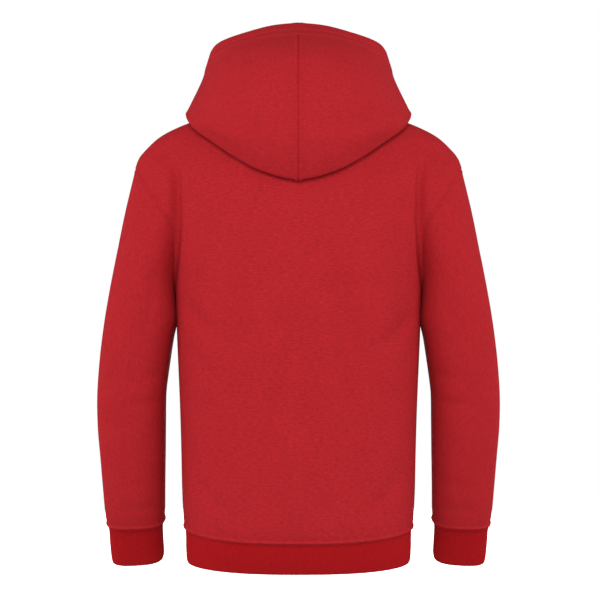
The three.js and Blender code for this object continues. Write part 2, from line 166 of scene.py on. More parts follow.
# The body above the underarm, for turns from 0 to 1, before its edge is set on the armhole
def loftPoint(side, turn, rise, seamDepth):
    squeeze = 1 - body["armholeSqueeze"] * seamDepth * turn ** 2 / body["armholeDepth"]
    foot = lowerPoint(side, turn * squeeze, body["underarmZ"])
    share = body["neckShare"]
    onNeck = (turn <= share)[..., None]
    seam = readTable(shoulderSeam, "place", (turn - share) / (1 - share) * (len(shoulderSeam["x"]) - 1))
    head = np.where(onNeck, neckPoint(side, np.minimum(turn / share, 1)), point(seam["x"], 0, seam["z"]))
    arc = body["neckArc"] + (1 - body["neckArc"]) * smooth(np.minimum(turn / share, 1))
    top = math.pi / 2 * arc
    rounding = body["shoulderRound"]
    swing = np.arcsin(np.minimum(rise ** (rounding / 2) * np.sin(top), 1))
    low = np.maximum(np.cos(top), 0) ** (2 / rounding)
    arch = (np.maximum(np.cos(swing), 0) ** (2 / rounding) - low) / (1 - low)
    return point(
        foot[..., 0] + (head[..., 0] - foot[..., 0]) * rise ** rounding,
        head[..., 1] + (foot[..., 1] - head[..., 1]) * arch,
        foot[..., 2] + (head[..., 2] - foot[..., 2]) * rise)


def upperPoint(side, turn, rise):
    seam = armholePoint(side, np.degrees(np.arccos(2 * rise - 1)))
    seamDepth = np.abs(seam[..., 1])
    pull = seam - loftPoint(side, np.ones_like(turn), rise, seamDepth)
    return loftPoint(side, turn, rise, seamDepth) + pull * turn[..., None] ** body["armholePull"]


# Rows of a panel from the hem up to the neckline and shoulders, columns across it
def panelGrid(side, turns, heights, climbs):
    turn, z = np.meshgrid(turns, heights)
    low = lowerPoint(side, turn, z)
    turn, climb = np.meshgrid(turns, climbs)
    high = foldIn(upperPoint(side, np.abs(turn), (1 - np.cos(climb * math.pi)) / 2))
    high[..., 0] *= np.where(turn < 0, -1, 1)
    return np.concatenate([low, high])


# Rings of the sleeve and cuff, from the armhole down. The armhole's form dies out over reach
# rings, and square sets how flat the sections are.
sleeve = {"reach": 4, "square": 2.75}
sleeveRings = numbered(table(
    "outX outZ inX inZ midY depth lean",
    (209, -83, 157, -235, 0, 50, 0), (221.5, -135, 157, -243, 0, 54, 0),
    (232, -187, 156, -256, 0, 56, 0), (241, -237, 155, -274, -1, 55, 0),
    (248.5, -283, 160.4, -299, -3, 52, 0.02), (254, -325, 165, -329, -5, 49, 0.04),
    (257.6, -370, 170.2, -368, -8, 46, 0.07), (257.6, -410, 171.4, -408, -12, 45, 0.1),
    (255, -450, 172.2, -448, -17, 43, 0.13), (252.4, -490, 173.2, -488, -22, 41, 0.15),
    (250.2, -523, 173.8, -521, -27, 38, 0.16), (247.4, -539, 174.8, -537, -29, 34, 0.16)))
cuffRings = numbered(table(
    "outX outZ inX inZ midY depth lean",
    (247.4, -539, 174.8, -537, -29, 34, 0.16), (245.6, -545.5, 177.2, -543.5, -30, 30, 0.17),
    (245, -563, 177, -561, -34, 28, 0.2), (243.8, -581, 176.4, -578.5, -38, 26.5, 0.24),
    (242.8, -587.5, 176.8, -584, -39.5, 25.5, 0.25)))


# A ring of a tube: turn 0 is its outside, 90 its back, 180 its inside
def tubePoint(row, turn):
    across, along = np.cos(np.radians(turn)), np.sin(np.radians(turn))
    square = sleeve["square"]
    size = (np.abs(across) ** square + np.abs(along) ** square) ** (1 / square)
    middleX, middleZ = (row["outX"] + row["inX"]) / 2, (row["outZ"] + row["inZ"]) / 2
    return point(
        middleX + (row["outX"] - middleX) * across / size,
        row["midY"] + row["depth"] * along / size,
        middleZ + (row["outZ"] - middleZ) * across / size - row["lean"] * row["depth"] * along / size)


def sleeveGrid(turns, places):
    turn, place = np.meshgrid(turns, places)
    side = np.where(turn <= 180, 1, -1)
    seam = foldIn(armholePoint(side, np.where(turn <= 180, turn, 360 - turn)))
    first = {name: line[0] for name, line in sleeveRings.items()}
    keep = 1 - ramp(place, sleeve["reach"])
    shift = (seam - tubePoint(first, turn)) * keep[..., None]
    return tubePoint(readTable(sleeveRings, "place", place), turn) + shift


def cuffGrid(turns, places):
    turn, place = np.meshgrid(turns, places)
    return tubePoint(readTable(cuffRings, "place", place), turn)


# The rib band round the hem, with its share of the hem's droop
bandRings = numbered(table(
    "drop half back front sag",
    (0, 144.6, 95, 97, 1), (4.5, 143.4, 92.5, 94.5, 0.95), (22, 143.2, 90, 92, 0.7),
    (37, 142.6, 86, 88, 0.5), (42, 141.6, 84.5, 86.5, 0.45)))


# Round the band: 0 and 2 are the sides, 1 is the centre back and 3 the centre front
def bandGrid(turns, places):
    turn, place = np.meshgrid(turns, places)
    row = readTable(bandRings, "place", place)
    back = turn <= 2
    depth = np.where(back, row["back"], row["front"])
    x, y = ringPoint(row["half"], depth, np.where(back, 1 - turn, turn - 3), body["square"])
    droop = row["sag"] * np.where(back, body["backDroop"], body["frontDroop"]) * (y / depth) ** 2
    return point(x, np.where(back, y, -y), bodyRings["z"][0] - row["drop"] - droop)


# The hood half: its lines run from the centre back (0) past the side (1) to the front (2)
stand = {"up": 12, "lean": 2, "rollOut": 9, "rollUp": 19, "fallOut": 21, "fallUp": 8, "foldRise": 1.2}
hoodFold = table(
    "at x y z round roll lift",
    (0, 0, 101, -104, 9, 1, 2), (0.25, 42.5, 97, -94, 9, 1, 2), (0.5, 75, 86, -77, 9, 0.95, 3),
    (0.75, 110, 64, -52, 8, 0.85, 5), (0.875, 125.5, 51, -40.5, 7.5, 0.8, 5),
    (0.94, 134, 35, -31, 6.5, 0.78, 4.5), (0.97, 136.8, 20, -23.2, 6.2, 0.76, 4),
    (1, 137.5, 4, -19.6, 6.2, 0.75, 3), (1.12, 134, -28, -24, 6.5, 0.7, 6),
    (1.25, 121, -53, -37, 7, 0.65, 8), (1.5, 88, -83, -61, 6.5, 0.55, 6),
    (1.75, 48, -94, -79, 5, 0.5, 3), (2, 9, -91, -84, 3.5, 0.45, 0))
hoodBelly = table(
    "at x y z",
    (0, 0, 123, -58), (0.25, 48, 118, -53), (0.5, 86, 103, -42), (0.75, 121.5, 70, -27),
    (0.875, 134, 42, -16.5), (1, 139.6, 5, -4.5), (1.25, 128, -58, -20), (1.5, 95, -91, -43),
    (1.75, 53, -101, -63), (2, 7, -98, -76))
hoodCrown = table(
    "at x y z",
    (0, 0, 112, 38), (0.25, 41, 108, 37), (0.5, 77, 92, 36), (0.75, 106, 58, 33), (1, 124, 5, 29),
    (1.25, 121, -48, 10), (1.5, 95, -83, -19), (1.75, 54, -102, -45), (2, 7, -103, -67))
hoodRim = table(
    "at x y z",
    (0, 0, 46, 95), (0.25, 32, 45, 92.6), (0.5, 62, 40, 86), (0.75, 92, 28, 78.2), (0.875, 106, 16, 72),
    (1, 113, 3, 61), (1.25, 108, -28, 37), (1.5, 86, -65, 3), (1.75, 50, -94, -31), (2, 8, -103, -58))


# A line of the hood that runs on smoothly across the centre seam
def acrossCentre(rows):
    before = {name: line[1] * (-1 if name in ("at", "x") else 1) for name, line in rows.items()}
    return {name: np.concatenate([[before[name]], line]) for name, line in rows.items()}


def hoodLine(rows, at):
    row = readTable(acrossCentre(rows), "at", at)
    return point(row["x"], row["y"], row["z"])


# The key points of the hood's sections, from the neckline out to the fold and up to the rim
def hoodKeys(at):
    backNeck = neckPoint(1, np.minimum(at, 1))
    frontNeck = neckPoint(-1, np.minimum(2 - at, 1))
    neck = np.where((at <= 1)[:, None], backNeck, frontNeck)
    fold = readTable(acrossCentre(hoodFold), "at", at)
    low = point(fold["x"], fold["y"], fold["z"])
    outward = unit((low - neck) * (1, 1, 0))

    def away(start, out, up):
        return start + outward * np.broadcast_to(out, at.shape)[:, None] + point(0, 0, up)

    roll, curl = fold["roll"], fold["round"]
    fall = away(neck, stand["fallOut"] * roll, stand["fallUp"] * roll)
    foldSide = away(low, -curl, curl * stand["foldRise"])
    return np.stack([
        neck,
        away(neck, stand["lean"], stand["up"] * roll),
        away(neck, stand["rollOut"] * roll, stand["rollUp"] * roll),
        fall,
        away((fall + foldSide) / 2, 0, fold["lift"]),
        foldSide,
        low,
        away(low, curl, curl * stand["foldRise"]),
        hoodLine(hoodBelly, at),
        hoodLine(hoodCrown, at),
        hoodLine(hoodRim, at),
    ])


# A smooth curve through key points, with its steps from one key to the next
def throughKeys(keys, spans):
    keys = np.concatenate([[2 * keys[0] - keys[1]], keys, [2 * keys[-1] - keys[-2]]])
    rows = []
    for k, steps in enumerate(spans):
        a, b, c, d = keys[k:k + 4]
        gaps = [np.maximum(np.sqrt(np.linalg.norm(q - p, axis=-1, keepdims=True)), 1e-3)
                for p, q in ((a, b), (b, c), (c, d))]
        leave = ((b - a) / gaps[0] - (c - a) / (gaps[0] + gaps[1]) + (c - b) / gaps[1]) * gaps[1]
        arrive = ((c - b) / gaps[1] - (d - b) / (gaps[1] + gaps[2]) + (d - c) / gaps[2]) * gaps[1]
        for t in steps:
            rows.append(b + leave * t + (3 * (c - b) - 2 * leave - arrive) * t ** 2
                        + (2 * (b - c) + leave + arrive) * t ** 3)
    return np.array(rows)


# Which way the cloth faces at each point of a grid, which may close on itself
def normalsOf(points, facing, closed):
    wide = np.concatenate([points[:, -1:], points, points[:, :1]], 1) if closed else points
    along = np.gradient(wide, axis=1)
    along = along[:, 1:-1] if closed else along
    return unit(np.cross(along, np.gradient(points, axis=0)) * facing)


# How far each point lies from the start and the end of its row or column
def runs(points, axis):
    gaps = np.linalg.norm(np.diff(points, axis=axis), axis=-1)
    first = np.zeros_like(points[..., 0]).take([0], axis)
    begun = np.concatenate([first, np.cumsum(gaps, axis=axis)], axis)
    return begun, begun.take([-1], axis) - begun


# The soft ridge beside a seam, from its height, its distance from the seam and its width
def ridge(distance, form):
    high, at, wide = form
    return high * np.exp(-((distance - at) / wide) ** 2) * ramp(distance, at)


# Small gathers that die out away from a seam. Each wave has its share, its length, how far
# the shift of the piece moves it, and where it starts.
gathering = {"waves": ((1, 1.35, 1, 0), (0.7, 2.1, 2.3, 0), (0.5, 3.7, 0, 0.6)), "seamClear": 1.5}


def puckers(distance, along, high, reach, shift):
    wave = sum(share * np.sin(along / length + moved * shift + start)
               for share, length, moved, start in gathering["waves"])
    return high * wave * np.exp(-(distance / reach) ** 2) * ramp(distance, gathering["seamClear"])


# Each crease is a curve read at some steps. tip and blunt set how it fades at its ends, and
# turnAway how soon it fades where the cloth turns to the side.
creasing = {"steps": 25, "tip": 0.02, "blunt": 0.6, "turnAway": 3}


# How deep the listed creases press in; side 1 is the back and -1 the front
def pressed(points, normals, creases):
    steps = np.linspace(0, 1, creasing["steps"])
    pulls = (1 - steps) ** 2, 2 * steps * (1 - steps), steps ** 2
    deep = np.zeros_like(points[..., 0])
    for k in range(len(creases["deep"])):
        c = {name: line[k] for name, line in creases.items()}
        x = pulls[0] * c["x1"] + pulls[1] * c["x2"] + pulls[2] * c["x3"]
        z = pulls[0] * c["z1"] + pulls[1] * c["z2"] + pulls[2] * c["z3"]
        away = (points[..., 0, None] - x) ** 2 + (points[..., 2, None] - z) ** 2
        nearest = np.clip(steps[away.argmin(-1)], creasing["tip"], 1 - creasing["tip"])
        fade = np.sin(math.pi * nearest) ** creasing["blunt"]
        facing = np.clip(c["side"] * normals[..., 1] * creasing["turnAway"], 0, 1)
        deep += c["deep"] * np.exp(-away.min(-1) / c["wide"] ** 2) * fade * facing
    return deep


# The same creases, each a little deeper or shallower, so that the two sides differ
def varied(creases, settings, shift):
    order = np.arange(len(creases["deep"]))
    change = 1 + settings["creaseVary"] * np.sin(order * settings["creasePace"] + shift)
    return {**creases, "deep": creases["deep"] * change}


# Puts a mesh, a lamp or a camera in the scene
def addToScene(name, data):
    made = bpy.data.objects.new(name, data)
    bpy.context.scene.collection.objects.link(made)
    return made


sewing = {"rimAngles": (30, 60, 90, 120, 150), "sharpAngle": 68}


# Makes a closed wall of cloth from a grid of outer points. sink moves both faces in and lift
# moves the outer face out; the last row is a seam, or a folded edge with a round rim.
def sewCloth(name, points, settings, sink=0, lift=0, thick=None):
    facing, closed = settings["facing"], settings.get("closed", False)
    normals = normalsOf(points, facing, closed)
    thick = np.broadcast_to(settings["wall"] if thick is None else thick, points.shape[:2])
    outer = points - normals * (np.zeros(points.shape[:2]) + sink - lift)[..., None]
    inner = points - normals * (thick + sink)[..., None]
    layers = list(outer)
    if settings.get("foldedEdge"):
        middle = (outer[-1] + inner[-1]) / 2
        half = np.linalg.norm(outer[-1] - inner[-1], axis=-1, keepdims=True) / 2
        onward = unit(points[-1] - points[-2])
        for angle in np.radians(sewing["rimAngles"]):
            layers.append(middle + normals[-1] * half * np.cos(angle) + onward * half * np.sin(angle))
    layers += list(inner[::-1])
    rings = np.array(layers)
    count, width = rings.shape[:2]
    spans = width if closed else width - 1
    i, j = np.meshgrid(np.arange(count), np.arange(spans), indexing="ij")
    nextI, nextJ = (i + 1) % count, (j + 1) % width
    quads = np.stack([i * width + j, i * width + nextJ, nextI * width + nextJ, nextI * width + j], -1)
    faces = quads.reshape(-1, 4)[:, ::facing].tolist()
    if not closed:
        rowCount = len(outer)
        for edge, turn in ((0, facing), (width - 1, -facing)):
            at = [k * width + edge for k in range(count)]
            for k in range(rowCount - 1):
                face = [at[k], at[k + 1], at[count - 2 - k], at[count - 1 - k]]
                faces.append(face[::turn])
            if count > 2 * rowCount:
                faces.append(at[rowCount - 1:count - rowCount + 1][::turn])
    mesh = bpy.data.meshes.new(name)
    mesh.from_pydata((rings.reshape(-1, 3) * mm).tolist(), [], faces)
    mapCloth(mesh, points, rings.shape, closed)
    mesh.shade_smooth()
    mesh.set_sharp_from_angle(angle=math.radians(sewing["sharpAngle"]))
    return addToScene(name, mesh)


# Lays the knit along the cloth: u across it and v along it, in metres
def mapCloth(mesh, points, shape, closed):
    count, width = shape[:2]
    rowCount = len(points)
    around = np.concatenate([points, points[:, :1]], 1) if closed else points
    across = runs(around, 1)[0]
    across = across - across[:, [across.shape[1] // 2]]
    down = runs(around, 0)[0]
    rim = [rowCount - 1] * (count - 2 * rowCount)
    order = [*range(rowCount), *rim, *reversed(range(rowCount))]
    u, v = across[order], down[order]
    index = np.zeros(len(mesh.loops), np.int32)
    mesh.loops.foreach_get("vertex_index", index)
    row, column = index // width, index % width
    if closed:  # the last span runs on to the point past the start
        quads = count * width
        span = np.tile(np.arange(width), count)
        wraps = np.repeat(span == width - 1, 4)
        column = column.copy()
        column[:quads * 4][wraps & (column[:quads * 4] == 0)] = width
    layer = mesh.uv_layers.new(name="knit")
    laid = np.stack([u[row, column], v[row, column]], -1) * mm
    layer.data.foreach_set("uv", laid.astype(np.float32).ravel())


print("hoodie: cut laid out")


# Shader maths: wraps a socket, so that an expression on values adds its Math nodes
class Strand:
    def __init__(self, dye, socket):
        self.dye = dye
        self.socket = socket

    def maths(self, operation, *others):
        values = dict(enumerate((self, *others)))
        return self.dye.node("ShaderNodeMath", {"operation": operation}, values)

    def __add__(self, other):
        return self.maths("ADD", other)

    def __sub__(self, other):
        return self.maths("SUBTRACT", other)

    def __mul__(self, other):
        return self.maths("MULTIPLY", other)

    def __truediv__(self, other):
        return self.maths("DIVIDE", other)

    def __rsub__(self, other):
        return self.dye.node("ShaderNodeMath", {"operation": "SUBTRACT"}, {0: other, 1: self})

    __radd__ = __add__
    __rmul__ = __mul__


# The nodes of a material or of the studio's air
class Dye:
    def __init__(self, owner):
        self.owner = owner
        self.owner.use_nodes = True
        self.tree = self.owner.node_tree
        self.tree.nodes.clear()

    def node(self, kind, settings=None, sockets=None, output=0):
        made = self.tree.nodes.new(kind)
        for name, value in (settings or {}).items():
            setattr(made, name, value)
        for name, value in (sockets or {}).items():
            if isinstance(value, Strand):
                self.tree.links.new(value.socket, made.inputs[name])
            else:
                made.inputs[name].default_value = value
        return Strand(self, made.outputs[output]) if len(made.outputs) else made

    def mix(self, factor, first, second):
        return self.node("ShaderNodeMix", {"data_type": "RGBA"}, {0: factor, 6: first, 7: second}, 2)

    def noise(self, vector, scale, detail):
        return self.node("ShaderNodeTexNoise", {}, {"Vector": vector, "Scale": scale, "Detail": detail})

    def finish(self, sockets):
        surface = self.node("ShaderNodeBsdfPrincipled", {}, sockets, "BSDF")
        self.node("ShaderNodeOutputMaterial", {}, {"Surface": surface})
        return self.owner


def shade(colour, amount):
    return (*(channel * amount for channel in colour), 1)


# What both knits share: each noise as scale and detail, and what it gives to tone and height
knit = {
    "slant": 0.5, "loopDeep": 0.35, "streaks": (160, 520, 1),
    "soft": (34, 3), "fine": (1, 3), "fuzz": (2600, 2), "pile": (420, 3),
    "softTone": 0.1, "fineTone": 0.6, "pileTone": 0.3, "contrast": 2.6,
    "loopHigh": 0.7, "fuzzHigh": 0.6, "pileHigh": 0.5, "bump": 0.55,
    "sheenRoughness": 0.6, "sheenTint": (1, 0.16, 0.18, 1), "specular": 0.02,
}


# The knit face: narrow wales of slanting loops
def knitHeight(dye, wale, course):
    uv = dye.node("ShaderNodeUVMap", {"uv_map": "knit"})
    u = dye.node("ShaderNodeSeparateXYZ", {}, {"Vector": uv}, "X")
    v = dye.node("ShaderNodeSeparateXYZ", {}, {"Vector": uv}, "Y")
    across = (u / wale).maths("FRACT")
    slant = (across * 2 - 1).maths("ABSOLUTE")
    leg = 1 - ((across * 2).maths("FRACT") * 2 - 1).maths("ABSOLUTE")
    loop = ((v / course + slant * knit["slant"]) * (2 * math.pi)).maths("COSINE")
    return uv, leg * (loop * knit["loopDeep"] + (1 - knit["loopDeep"]))


fleeceLook = {
    "colour": (0.44, 0.0186, 0.0243), "pale": 1.2, "deep": 0.79, "roughness": 0.92,
    "wale": 0.00095, "course": 0.0008, "relief": 0.00016, "sheen": 0.04,
}
ribLook = {
    "colour": (0.405, 0.0086, 0.0116), "pale": 1.1, "deep": 0.88, "roughness": 0.9,
    "wale": 0.00074, "course": 0.0007, "relief": 0.00012, "sheen": 0.03,
}


def knitMaterial(name, look):
    dye = Dye(bpy.data.materials.new(name))
    uv, loops = knitHeight(dye, look["wale"], look["course"])
    place = dye.node("ShaderNodeTexCoord", {}, {}, "Object")
    streaks = dye.node("ShaderNodeMapping", {}, {"Vector": uv, "Scale": knit["streaks"]})
    soft = dye.noise(place, *knit["soft"])
    fine = dye.noise(streaks, *knit["fine"])
    fuzz = dye.noise(place, *knit["fuzz"])
    pile = dye.noise(place, *knit["pile"])
    mottle = soft * knit["softTone"] + fine * knit["fineTone"] + pile * knit["pileTone"]
    tone = (mottle - 0.5) * knit["contrast"] + 0.5
    colour = dye.mix(tone, shade(look["colour"], look["deep"]), shade(look["colour"], look["pale"]))
    height = loops * knit["loopHigh"] + fuzz * knit["fuzzHigh"] + pile * knit["pileHigh"]
    bump = dye.node("ShaderNodeBump", {}, {
        "Height": height, "Strength": knit["bump"], "Distance": look["relief"]})
    return dye.finish({
        "Base Color": colour, "Roughness": look["roughness"], "Normal": bump,
        "Sheen Weight": look["sheen"], "Sheen Roughness": knit["sheenRoughness"],
        "Sheen Tint": knit["sheenTint"], "Specular IOR Level": knit["specular"],
    })


threadLook = {
    "deep": (0.2, 0.006, 0.009, 1), "pale": (0.3, 0.011, 0.015, 1), "roughness": 0.6,
    "twist": (900, 2), "bump": 0.4, "relief": 0.0001,
}


def threadMaterial():
    dye = Dye(bpy.data.materials.new("red thread"))
    place = dye.node("ShaderNodeTexCoord", {}, {}, "Object")
    tone = dye.noise(place, *threadLook["twist"])
    colour = dye.mix(tone, threadLook["deep"], threadLook["pale"])
    bump = dye.node("ShaderNodeBump", {}, {
        "Height": tone, "Strength": threadLook["bump"], "Distance": threadLook["relief"]})
    return dye.finish({"Base Color": colour, "Roughness": threadLook["roughness"], "Normal": bump})


fleece = knitMaterial("red fleece", fleeceLook)
rib = knitMaterial("red rib", ribLook)
thread = threadMaterial()
print("hoodie: materials mixed")


# Gives a piece its material in a slot and its body, and hides the solid that it stands for
def dress(piece, material, node):
    piece.data.materials.append(material)
    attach(piece, "root")
    if node:
        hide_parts(node)
    return piece


# Soft creases: three points of each in x and z, how deep it presses in and how wide it is.
# A negative depth is a soft ridge.
bodyCreases = table(
    "side x1 z1 x2 z2 x3 z3 deep wide",
    (1, 44, -118, 72, -235, 70, -410, 5.8, 17),
    (1, -42, -126, -70, -250, -68, -396, 6.3, 16),
    (1, 98, -96, 106, -220, 112, -400, -4.7, 17),
    (1, -98, -100, -105, -230, -111, -380, -5.2, 18),
    (1, 4, -240, 8, -330, 50, -490, 4.2, 13),
    (1, -2, -256, -10, -350, -48, -476, 3.9, 14),
    (1, 0, -400, 0, -470, 0, -530, -4.7, 15),
    (1, 140, -250, 122, -282, 84, -300, 3.9, 10),
    (1, -142, -262, -120, -300, -88, -312, 4.2, 10),
    (1, 138, -300, 118, -340, 92, -350, 2.7, 9),
    (1, 126, -470, 108, -500, 84, -512, 2.8, 9),
    (1, -128, -452, -112, -494, -90, -508, 3.2, 10),
    (1, 184, -72, 168, -62, 150, -50, 3.4, 9),
    (1, -186, -74, -168, -66, -148, -52, 3.6, 9),
    (-1, 52, -150, 70, -260, 62, -410, 6.3, 17),
    (-1, -50, -140, -72, -246, -66, -396, 5.8, 18),
    (-1, 98, -120, 108, -240, 110, -380, -4.7, 17),
    (-1, -96, -126, -106, -250, -112, -370, -4.7, 18),
    (-1, 4, -300, 10, -400, 52, -500, 4.2, 13),
    (-1, -2, -290, -12, -390, -48, -490, 4.2, 13),
    (-1, 26, -104, 70, -126, 124, -112, 4.9, 12),
    (-1, -30, -108, -74, -130, -120, -110, 4.7, 13),
    (-1, 142, -256, 120, -290, 88, -300, 4.2, 10),
    (-1, -140, -262, -122, -296, -90, -306, 3.9, 10),
    (-1, 128, -466, 110, -498, 86, -510, 3.2, 10),
    (-1, -126, -472, -108, -500, -84, -514, 2.8, 9),
)
panelTurns = marks((-1, 9), (-0.975, 184), (0.975, 9), (1, 0))
panelHeights = marks((-539, 12), (-531, 80), (-235, 0))
panelClimbs = marks((0.012, 78), (0.985, 8), (1, 0))
backPanel = {"name": "back_panel_cloth", "side": 1, "facing": -1, "wall": 2, "shift": 0.4}
frontPanel = {"name": "front_panel_cloth", "side": -1, "facing": 1, "wall": 2, "shift": 1.9}
panelSeams = {
    "hemRidge": (1.9, 2.5, 2), "edgeRidge": (0.85, 2.1, 1.5),
    "gather": 0.22, "gatherReach": 12, "creaseClear": 14,
}


def makePanel(settings):
    points = panelGrid(settings["side"], panelTurns, panelHeights, panelClimbs)
    normals = normalsOf(points, settings["facing"], False)
    left, right = runs(points, 1)
    hem, top = runs(points, 0)
    edge = np.minimum(np.minimum(left, right), top)
    clear = ramp(np.minimum(edge, hem), panelSeams["creaseClear"])
    sink = pressed(points, normals, bodyCreases) * clear
    lift = ridge(hem, panelSeams["hemRidge"]) + ridge(edge, panelSeams["edgeRidge"])
    gathers = puckers(hem, left, panelSeams["gather"], panelSeams["gatherReach"], settings["shift"])
    lift += gathers * ramp(edge, panelSeams["gatherReach"])
    return sewCloth(settings["name"], points, settings, sink, lift)


back = dress(makePanel(backPanel), fleece, "back_panel")
front = dress(makePanel(frontPanel), fleece, "front_panel")
print("hoodie: panels sewn")

sleeveCreases = table(
    "side x1 z1 x2 z2 x3 z3 deep wide",
    (1, 216, -130, 226, -220, 230, -310, 1.8, 10),
    (1, 176, -190, 184, -260, 198, -330, 1.5, 10),
    (1, 166, -336, 190, -354, 220, -346, 1.7, 8),
    (1, 168, -372, 194, -386, 216, -380, 1.4, 8),
    (1, 254, -396, 236, -410, 214, -406, 1.1, 8),
    (1, 176, -478, 204, -492, 232, -484, 1.1, 8),
    (1, 180, -512, 208, -522, 236, -516, 0.9, 7),
    (-1, 212, -150, 224, -230, 226, -310, 1.6, 10),
    (-1, 166, -330, 192, -348, 222, -340, 2.3, 8),
    (-1, 168, -362, 196, -378, 220, -370, 1.9, 8),
    (-1, 254, -384, 234, -398, 212, -394, 1.4, 8),
    (-1, 174, -462, 204, -478, 232, -470, 1.3, 8),
    (-1, 178, -504, 206, -516, 236, -508, 1.0, 7),
)
sleeveSettings = {
    "wall": 2, "closed": True, "columns": 96, "cuffRidge": (1.7, 2.4, 1.9), "seamRidge": (0.6, 2.1, 1.5),
    "gather": 0.28, "gatherReach": 12, "creaseClear": 14, "creaseVary": 0.25, "creasePace": 2.1,
}
sleevePlaces = marks((0, 8), (0.07, 120), (10, 30), (11, 0))


# Sides of the wearer: 1 is the left and -1 the right
def makeSleeve(name, side, shift):
    turns = marks((0, sleeveSettings["columns"]), (360, 0))[:-1]
    points = sleeveGrid(turns, sleevePlaces)
    normals = normalsOf(points, -1, True)
    seam, cuff = runs(points, 0)
    clear = ramp(np.minimum(seam, cuff), sleeveSettings["creaseClear"])
    sink = pressed(points, normals, varied(sleeveCreases, sleeveSettings, shift)) * clear
    lift = ridge(cuff, sleeveSettings["cuffRidge"]) + ridge(seam, sleeveSettings["seamRidge"])
    along = runs(points, 1)[0]
    lift += puckers(cuff, along, sleeveSettings["gather"], sleeveSettings["gatherReach"], shift)
    points[..., 0] *= side
    return sewCloth(name, points, {**sleeveSettings, "facing": -side}, sink, lift)


for word, side, shift in (("left", 1, 0.3), ("right", -1, 2.2)):
    piece = makeSleeve(f"sleeve_{word}_cloth", side, shift)
    dress(piece, fleece, f"sleeve_{word}")
print("hoodie: sleeves sewn")

ribSettings = {"high": 0.36, "samples": 6, "seamClear": 1.2, "middlePlace": 2, "fineSteps": 4000}
cuffSettings = {"wall": 2.6, "closed": True, "foldedEdge": True, "ribs": 88, "wholeTurn": 360}
cuffPlaces = marks((0, 6), (1, 6), (3, 6), (4, 0))
bandSettings = {
    "name": "hem_band_cloth", "facing": -1, "wall": 2.6, "closed": True, "foldedEdge": True,
    "ribs": 340, "wholeTurn": 4,
}
bandPlaces = marks((0, 5), (1, 4), (3, 5), (4, 0))


# Turns that step evenly round a tube, measured at its middle ring
def evenTurns(grid, settings):
    fine = np.linspace(0, settings["wholeTurn"], ribSettings["fineSteps"] + 1)
    gone = runs(grid(fine, [ribSettings["middlePlace"]])[0], 0)[0]
    count = settings["ribs"] * ribSettings["samples"]
    return np.interp(np.arange(count) / count * gone[-1], gone, fine)


def ribLift(points):
    wave = 0.5 + 0.5 * np.cos(np.arange(points.shape[1]) / ribSettings["samples"] * 2 * math.pi)
    seam = runs(points, 0)[0]
    return ribSettings["high"] * wave[None, :] * ramp(seam, ribSettings["seamClear"])


def makeCuff(name, side):
    points = cuffGrid(evenTurns(cuffGrid, cuffSettings), cuffPlaces)
    points[..., 0] *= side
    return sewCloth(name, points, {**cuffSettings, "facing": -side}, 0, ribLift(points))


for word, side in (("left", 1), ("right", -1)):
    dress(makeCuff(f"cuff_{word}_cloth", side), rib, f"cuff_{word}")

bandPoints = bandGrid(evenTurns(bandGrid, bandSettings), bandPlaces)
band = sewCloth(bandSettings["name"], bandPoints, bandSettings, 0, ribLift(bandPoints))
dress(band, rib, "hem_band")
print("hoodie: ribs knitted")

hoodCreases = table(
    "side x1 z1 x2 z2 x3 z3 deep wide",
    (1, 18, 48, 52, 38, 96, 44, 1.8, 13),
    (1, 16, -2, 60, 8, 104, -2, -2.0, 14),
    (1, 28, -46, 74, -42, 118, -14, 2.0, 12),
    (1, 100, 64, 110, 44, 124, 10, 1.1, 8),
    (1, 12, -72, 36, -70, 60, -58, 1.2, 9),
)
hood = {
    "wall": 2, "hemWall": 3.2, "hemDeep": 33, "hemSoft": 3, "puff": 0.9, "bulk": 0.7, "bulkWide": 8,
    "seamRidge": (1.6, 2.1, 1.7), "seamGather": 0.14, "gatherReach": 6, "creaseClear": 12,
    "creaseVary": 0.2, "creasePace": 1.7, "stitchRows": (16, 31), "grooveDeep": 1.15, "grooveWide": 1.35,
    "narrow": 0.3, "insideSpans": 7, "foldedEdge": True,
}
hoodColumns = marks((0, 12), (0.035, 40), (1, 40), (1.96, 10), (2, 0))
hoodSpans = [marks((0, steps), (1, 0))[:-1] for steps in (4, 5, 6, 9, 9, 8, 8, 16, 24)]
hoodSpans.append(marks((0, 14), (0.4, 70), (1, 0)))


